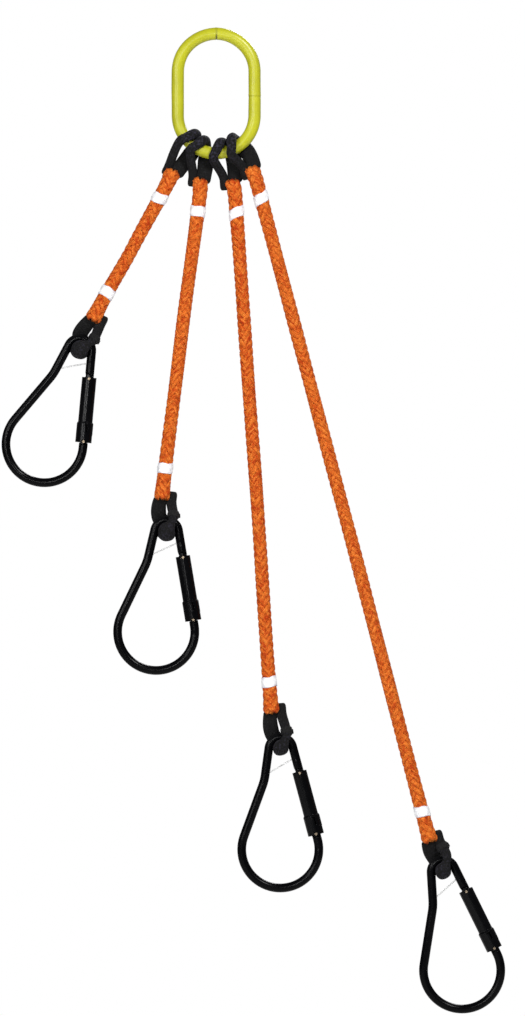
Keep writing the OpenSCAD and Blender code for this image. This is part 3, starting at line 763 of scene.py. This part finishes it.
def braid_half(i, name, span):
    """Twelve strands woven two over two along a span of leg i."""
    length = LEG_LENGTH[i]
    axis, side = down_dir(LEG_LEAN[i]), leg_side(i)
    s = np.linspace(*span, max(8, round((span[1] - span[0]) / STRAND_STEP)) + 1)
    cut_ends = (span[0] < THROAT_RUN, span[1] > length - THROAT_RUN)
    rng = np.random.default_rng(11 + 7 * i)
    tints = rng.random(STRANDS)
    raggedness = rng.random((STRANDS, 2)) * 2 * CUT_RAGGED - CUT_RAGGED
    drift = 0.55 * np.sin(s / 118.0 + i) + 0.25 * np.sin(s / 41.0 + 2.0 * i) + 0.9 * i
    flare = braid_flare(s, length)
    half_w, half_t = STRAND_HALF_W * flare, STRAND_HALF_T * (0.5 + 0.5 * flare)
    shape = Shape("height", "tint")
    for strand in range(STRANDS):
        turn = 1 if strand % 2 == 0 else -1
        local = (strand // 2) * math.tau / 6 + turn * s / BRAID_LEAD * math.tau
        crossing = np.cos(3 * (local - math.tau / 24))
        weave = crossing * (1 + CROSSING_SHARPNESS) / (1 + CROSSING_SHARPNESS * abs(crossing))
        r = (BRAID_MID_R + turn * BRAID_SWING * weave) * flare
        theta = local + drift
        # each strand's cut end sits a little higher or lower, and curls in
        place = s
        if cut_ends[0]:
            tip = np.clip(1 - (s - span[0]) / END_CURL, 0, 1)
            place = place + raggedness[strand, 0] * tip
            r = r - END_CURL_IN * tip**2
        if cut_ends[1]:
            tip = np.clip(1 - (span[1] - s) / END_CURL, 0, 1)
            place = place - raggedness[strand, 1] * tip
            r = r - END_CURL_IN * tip**2
        radial = np.cos(theta)[:, None] * side + np.sin(theta)[:, None] * Y_AXIS
        middle = upper_crotch(i) + place[:, None] * axis + leg_bow(i, place)[:, None] * side
        line = middle + r[:, None] * radial
        rings = sweep_rings(
            line, np.cross(axis, radial), half_w[:, None], half_t[:, None],
            STRAND_SIDES, STRAND_FULLNESS,
        )
        spoke = rings - middle[:, None]
        reach = np.linalg.norm(spoke - (spoke @ axis)[..., None] * axis, axis=2)
        # the strand's height over the braid's core; the rope's colour darkens as it falls, painting
        # shade into the crevices between strands
        height = np.clip((reach / flare[:, None] - HEIGHT_FROM) / HEIGHT_RANGE, 0, 1)
        uv = uv_grid(line, STRAND_SIDES, STRAND_GIRTH) + (STRAND_UV_SHIFT * strand, 0.0)
        shape.grid(rings, uv, caps=cut_ends, height=height, tint=tints[strand])
    made = shape.build(name, ROPE, f"rope_leg_{i + 1}")
    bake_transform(made)


BAND_PLACE = ((33.8, 38.5, 38.8, 37.6), (35.8, 35.8, 35.7, 35.9))
BAND_SLANT = ((-1.0, 0.4, -2.8, -2.6), (0.8, -0.5, -0.8, 1.0))
BAND_WIDTH = 11.8
BAND_INNER_R = 6.9
BAND_UV_R = 7.8
BAND_STAND = 0.45
BAND_SIDES = 48
BAND_STEPS = 12


def marker_band(i, number, place, body):
    """A wrap of tape round the rope, its ends a little slanted and creased over the strands."""
    axis, side = down_dir(LEG_LEAN[i]), leg_side(i)
    slant, phase = BAND_SLANT[number][i], 1.7 * i + 3.1 * number
    angle = angles(BAND_SIDES)
    radial = np.cos(angle)[:, None] * side + np.sin(angle)[:, None] * Y_AXIS
    s = np.linspace(-0.5, 0.5, BAND_STEPS + 1)[:, None]
    wavy = 0.45 * np.sin(3 * angle + phase) + slant * np.cos(angle)
    axial = place + BAND_WIDTH * s + wavy + 0.35 * np.sin(5 * angle + phase) * s
    pucker = 0.16 * np.sin(6 * angle + axial / 1.7) + 0.10 * np.sin(9 * angle - axial / 1.1)
    over_rope = BRAID_REACH * braid_flare(axial, LEG_LENGTH[i])
    outer_r = over_rope + BAND_STAND + pucker + 0.12 * np.cos(2 * np.pi * s)
    rim = np.abs(s * 2) ** 6
    middle = upper_crotch(i) + axial[..., None] * axis + leg_bow(i, axial)[..., None] * side
    outer = middle + (outer_r - 0.25 * rim)[..., None] * radial
    inner = middle + BAND_INNER_R * radial
    uv = np.stack(np.broadcast_arrays(angle[None, :] * BAND_UV_R, axial), -1)
    # painted shade at the band's two rims and at its sides that face along the sling's plane
    edge = np.clip(rim * 0.5 + 0.35 * (np.abs(s * 2) ** 2) * np.abs(np.cos(angle)) ** 4, 0, 1)
    shape = Shape("edge")
    shape.tube(outer, inner, uv, {"edge": edge}, inside=("edge",))
    name = f"tape_band_{i + 1}_{'lower' if number else 'upper'}"
    shape.build(name, TAPE, f"marker_bands_{i + 1}", body)


KEEPER_SPAN = ((0.155, 0.220), (0.150, 0.212), (0.155, 0.220), (0.060, 0.125))
KEEPER_SIDES = 36
KEEPER_SAMPLES = 36
KEEPER_STAND, KEEPER_INSET = 1.15, 0.3
KEEPER_FULLNESS = 2.3
KEEPER_GIRTH = 38.0
RIBS, RIB_HEIGHT = 7, 0.15
RIM_DEPTH, RIM_RUN = 0.35, 0.5
TAB_LENGTH, TAB_CURL, TAB_SINK = 1.6, 0.12, 0.6
TAB_HALF_WIDTHS, TAB_HALF_THICK = (3.6, 2.9), 0.55
TAB_STEPS, TAB_SIDES, TAB_FULLNESS, TAB_GIRTH = 8, 12, 3.0, 14.0


def keeper(i):
    """The ribbed elastic band round the front strand of a lower eye, with its loose tab."""
    line, widths, sizes = lower_eye(i).sample(*KEEPER_SPAN[i], KEEPER_SAMPLES)
    length = run_length(line)[:, None]
    full = length[-1]
    ribs = RIB_HEIGHT * np.cos(2 * np.pi * length / full * RIBS)
    rim = RIM_DEPTH * (np.exp(-length / RIM_RUN) + np.exp(-(full - length) / RIM_RUN))
    outer, inner = (
        sweep_rings(line, widths, half[:, :1], half[:, 1:], KEEPER_SIDES, KEEPER_FULLNESS)
        for half in (sizes + KEEPER_STAND + ribs - rim, sizes - KEEPER_INSET)
    )
    glint = 0.35 * np.clip(ribs / RIB_HEIGHT, 0, 1)
    shape = Shape("edge")
    shape.tube(outer, inner, uv_grid(line, KEEPER_SIDES, KEEPER_GIRTH), {"edge": glint})
    # the tab: a short flat tongue standing off the band's outer side
    at = len(line) // 2
    w, n = (directions[at] for directions in cross_frames(line, widths))
    root = line[at] - w * (sizes[at][0] + TAB_SINK)
    out = np.linspace(0, TAB_LENGTH, TAB_STEPS)[:, None]
    tongue = root - w * out + n * (TAB_CURL * out * out)
    runs = np.tile(unit(line[at + 1] - line[at]), (TAB_STEPS, 1))
    half = np.linspace(*TAB_HALF_WIDTHS, TAB_STEPS)[:, None]
    rings = sweep_rings(tongue, runs, half, TAB_HALF_THICK, TAB_SIDES, TAB_FULLNESS)
    shape.grid(rings, uv_grid(tongue, TAB_SIDES, TAB_GIRTH), caps=(True, True))
    body = f"lower_eye_{i + 1}"
    shape.build(f"elastic_keeper_{i + 1}", ELASTIC, f"keeper_band_{i + 1}", body)


# ------------------------------------------------------------ hooks
BAR_SIDES = 28
BAR_GIRTH = 30.0
HINGE_TRIM = 0.8
DIMPLE_DEPTH, DIMPLE_RUN = 0.55, 1.3
DIMPLE_PLACES = (12.0, 13.0)  # past the hinge end and short of the nose end
SADDLE_LOW, SADDLE_SLOPE = 0.2, 0.66
NOSE_LIP, NOSE_LIP_GAP = 3.4, 1.5
TANG_SIDES = 20
TANG_FULLNESS = 4.0
TANG_HALF_THICK = 2.0
TANG_GIRTH = 16.0
# half widths of the flat tongues at the hinge and the nose, by height above their pins
HINGE_TANG = (
    (6.2, 4.0), (0.0, 4.0), (-1.0, 3.9), (-2.0, 3.5), (-3.0, 2.7), (-3.7, 1.5), (-4.0, 0.6),
)
NOSE_TANG = (
    (-5.6, 5.0), (-1.7, 5.0), (-1.4, 4.0), (2.0, 4.0), (3.0, 3.9), (4.0, 3.5), (5.0, 2.7),
    (5.7, 1.5), (6.0, 0.6),
)


def in_hook(i, points):
    """Points of a hook's own frame, moved to where hook i hangs."""
    ex, ez = plane_dir(HOOK_LEAN[i]), plane_dir(HOOK_LEAN[i] + 90)
    return hook_origin(i) + points[..., :1] * ex + points[..., 1:2] * Y_AXIS + points[..., 2:] * ez


def flat_dir(degrees):
    a = math.radians(degrees)
    return np.array([math.cos(a), math.sin(a)])


def hook_path():
    """The middle line of the hook's bar as x and z, from the hinge round both bows to the nose."""
    upper, lower = SPINE_LEANS
    load_centre = np.array([TOP_BOW - LOAD_BOW, LOAD_BOW_Z])
    top_start = TOP_BOW * flat_dir(180 - upper)
    low_end = load_centre + LOAD_BOW * flat_dir(180 - lower)
    top_dir, low_dir = -flat_dir(90 - upper), -flat_dir(90 - lower)
    gap = low_end - top_start
    skew = top_dir[0] * low_dir[1] - top_dir[1] * low_dir[0]
    corner = top_start + (gap[0] * low_dir[1] - gap[1] * low_dir[0]) / skew * top_dir
    trim = SPINE_BEND * math.tan(math.radians(lower - upper) / 2)
    bend_start, bend_end = corner - trim * top_dir, corner + trim * low_dir
    bend_centre = bend_start + SPINE_BEND * flat_dir(180 - upper)

    def straight(start, end, count):
        return [lerp(start, end, t) for t in np.linspace(0, 1, count, endpoint=False)]

    def arc(centre, radius, start, end, count):
        bow = np.linspace(start, end, count, endpoint=False)
        return [centre + radius * flat_dir(a) for a in bow]

    hinge_end, nose_end = np.array([TOP_BOW, HINGE_Z + KNUCKLE_R]), LATCH_Z - NOSE_BAR_GAP
    points = straight(hinge_end, np.array([TOP_BOW, 0.0]), 14)
    points += arc(np.zeros(2), TOP_BOW, 0, 180 - upper, 40)
    points += straight(top_start, bend_start, 12)
    points += arc(bend_centre, SPINE_BEND, -upper, -lower, 10)
    points += straight(bend_end, low_end, 22)
    points += arc(load_centre, LOAD_BOW, 180 - lower, 360, 72)
    points += [np.array([TOP_BOW, z]) for z in np.linspace(LOAD_BOW_Z, nose_end, 5)]
    return np.array(points)


def tang_rings(heights, half_widths):
    """A flat tongue of the bar, from its half width at each height."""
    x, y = section(TANG_SIDES, TANG_FULLNESS)
    y = y * TANG_HALF_THICK
    pairs = zip(heights, half_widths)
    return np.array([np.stack([TOP_BOW + x * w, y, np.full_like(x, z)], -1) for z, w in pairs])


def hook_frame(i):
    path = hook_path()
    line = np.stack([path[:, 0], np.zeros(len(path)), path[:, 1]], -1)
    out = np.cross(tangents(line), Y_AXIS)
    a = angles(BAR_SIDES)
    length = run_length(line)
    full = length[-1]
    radius = BAR_SHOWN_R * np.ones((len(line), BAR_SIDES))
    # the end at the hinge is trimmed on its inner side, where the opening gate swings past it
    radius[0] -= HINGE_TRIM * np.clip(np.cos(a), 0, 1)
    # small punched dimples, one above the hinge and one below the nose
    face = np.clip(-np.sin(a), 0, 1) ** 6
    for place in (DIMPLE_PLACES[0], full - DIMPLE_PLACES[1]):
        radius = radius - DIMPLE_DEPTH * face * hump(length, place, DIMPLE_RUN)[:, None]
    rings = wire_rings(line, out, radius, a)
    # the bar's end is hollowed round the gate's knuckle, and clears its shoulder as it opens
    lip = rings[0, :, 0] - TOP_BOW
    saddle = np.sqrt(np.clip(KNUCKLE_R**2 - lip**2, 0, None))
    shoulder = np.where(lip < 0, SADDLE_LOW - SADDLE_SLOPE * lip, 0.0)
    rings[0, :, 2] = HINGE_Z + np.maximum(saddle, shoulder)
    # the nose's bar stands higher on its outer side, behind the gate's latch prongs
    lip = rings[-1, :, 0] - TOP_BOW
    rings[-1, :, 2] = LATCH_Z - np.where(lip > NOSE_LIP, NOSE_LIP_GAP, NOSE_BAR_GAP)
    # worn where the eye and the load bear on the bar's inner side
    rub = hump(length, 52.0, 9.0) + 0.7 * hump(length - full, -80.0, 26.0)
    wear = 0.5 * rub[:, None] * np.clip(-np.cos(a), 0, 1) ** 2
    shape = Shape("wear")
    shape.grid(in_hook(i, rings), uv_grid(line, BAR_SIDES, BAR_GIRTH), flip=True, wear=wear)
    shape.strip_cap(0, BAR_SIDES)
    shape.strip_cap((len(line) - 1) * BAR_SIDES, BAR_SIDES, flip=True)
    for foot, outline in ((HINGE_Z, HINGE_TANG), (LATCH_Z, NOSE_TANG)):
        heights, half_widths = np.array(outline).T
        heights = foot + heights
        tongue = np.stack([np.full_like(heights, TOP_BOW), 0 * heights, heights], -1)
        uv = uv_grid(tongue, TANG_SIDES, TANG_GIRTH)
        rings = in_hook(i, tang_rings(heights, half_widths))
        shape.grid(rings, uv, caps=(True, True), flip=heights[0] > heights[-1])
    node, body = f"hook_frame_{i + 1}", f"hook_{i + 1}"
    shape.build(f"coated_hook_{i + 1}", COAT, node, body)


# ------------------------------------------------------------ assembly
for i in LEGS:
    n = i + 1
    top, leg, foot = f"upper_eye_{n}", f"leg_{n}", f"lower_eye_{n}"
    for level, eye, body, tails, seed, sheen in (
        ("upper", upper_eye(i), top, UPPER_TAILS[i], i, UPPER_SHEEN),
        ("lower", lower_eye(i), foot, LOWER_TAILS, i + 5, LOWER_SHEEN),
    ):
        sleeve(f"woven_{level}_sleeve_{n}", eye, body, f"{level}_sleeve_{n}", tails, seed, sheen)
        eye_core(f"eye_core_{level}_{n}", eye, body, f"{level}_eye_rope_{n}")
    full = LEG_LENGTH[i]
    upper_span, lower_span = (UPPER_END[i], full / 2), (full / 2, full - LOWER_END[i])
    braid_half(i, f"braided_rope_{n}_upper", upper_span)
    braid_half(i, f"braided_rope_{n}_lower", lower_span)
    marker_band(i, 0, BAND_PLACE[0][i], leg)
    marker_band(i, 1, full - BAND_PLACE[1][i], leg)
    keeper(i)
    hook_frame(i)

master_link()

CAD_FINISH = {
    "gate": CAD_COAT,
    "lock_sleeve": CAD_COAT,
    "gate_rivets": BRIGHT,
    "captive_wire": WIRE,
    "gate_spring": SPRING,
    "lock_spring": SPRING,
}
for kind, finish in CAD_FINISH.items():
    for i in LEGS:
        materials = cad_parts[f"{kind}_{i + 1}"].data.materials
        materials.clear()
        materials.append(finish)

# ------------------------------------------------------------ stage, light and camera, in metres
FLOOR_Z = -1.35
FLOOR_R = 2.4
FLOOR_X = 0.05
FLOOR_GLOW = 0.42
WORLD_LIGHT = 0.17
VIEW_CENTRE = Vector((0.0528, 0.0, -0.5335))
VIEW_HALF_HEIGHT = 0.579
LENS = 200.0
SENSOR = 36.0
CLIP_END = 50.0
LIGHTS = {
    # where each stands and aims, its width and height, and its power
    "key": ((1.5, -2.4, 1.6), (0.0, 0.0, -0.5), (0.6, 0.8), 80.0),
    "fill": ((-2.0, -2.4, 0.2), (0.0, 0.0, -0.6), (0.5, 2.0), 42.0),
    "front_strip": ((-0.7, -4.2, 0.1), (0.0, 0.0, -0.55), (0.14, 1.4), 48.0),
    "rim": ((0.8, 2.2, 1.2), (0.0, 0.0, -0.4), (1.0, 1.0), 46.0),
}


def floor():
    m = Material("pale_floor", Roughness=0.9, Emission_Color=(1.0, 1.0, 1.0, 1.0))
    # it glows for the camera alone, and so stays pale without lighting the sling from below
    seen = (m.add("ShaderNodeLightPath"), "Is Camera Ray")
    m.surface(
        Base_Color=m.ramp(m.noise(6.0, 3.0), (0.3, 0.80), (0.7, 0.84)),
        Emission_Strength=m.product(seen, FLOOR_GLOW),
    )
    bpy.ops.mesh.primitive_circle_add(
        vertices=96, radius=FLOOR_R, fill_type="NGON", location=(FLOOR_X, 0, FLOOR_Z)
    )
    made = bpy.context.object
    made.name = "pale_floor"
    made.data.materials.append(m.material)


def area_light(name, place, target, size, power):
    data = bpy.data.lights.new(name, "AREA")
    data.shape = "RECTANGLE"
    data.size, data.size_y = size
    data.energy = power
    light = bpy.data.objects.new(name, data)
    light.location = place
    aim = Vector(target) - Vector(place)
    light.rotation_euler = aim.to_track_quat("-Z", "Z").to_euler()
    bpy.context.scene.collection.objects.link(light)


def white_world():
    """A world that the camera sees as white, while it lights the scene only softly."""
    world = bpy.data.worlds.new("white_studio")
    world.use_nodes = True
    nodes, links = world.node_tree.nodes, world.node_tree.links
    nodes.clear()
    mix = nodes.new("ShaderNodeMixShader")
    for slot, strength in ((1, WORLD_LIGHT), (2, 1.0)):
        background = nodes.new("ShaderNodeBackground")
        background.inputs["Strength"].default_value = strength
        background.inputs["Color"].default_value = (1, 1, 1, 1)
        links.new(background.outputs["Background"], mix.inputs[slot])
    path = nodes.new("ShaderNodeLightPath")
    output = nodes.new("ShaderNodeOutputWorld")
    links.new(path.outputs["Is Camera Ray"], mix.inputs["Fac"])
    links.new(mix.outputs["Shader"], output.inputs["Surface"])
    bpy.context.scene.world = world


floor()
white_world()
for light_name, light_settings in LIGHTS.items():
    area_light(light_name, *light_settings)

view = bpy.context.scene.view_settings
view.view_transform = "Standard"
view.look = "None"

camera_data = bpy.data.cameras.new("main_camera")
camera_data.lens = LENS
camera_data.sensor_width = SENSOR
camera_data.sensor_fit = "AUTO"
camera_data.clip_end = CLIP_END
camera = bpy.data.objects.new("main_camera", camera_data)
camera.location = VIEW_CENTRE - Vector((0.0, VIEW_HALF_HEIGHT * LENS / (SENSOR / 2), 0.0))
camera.rotation_euler = (math.radians(90.0), 0.0, 0.0)
bpy.context.scene.collection.objects.link(camera)
bpy.context.scene.camera = camera
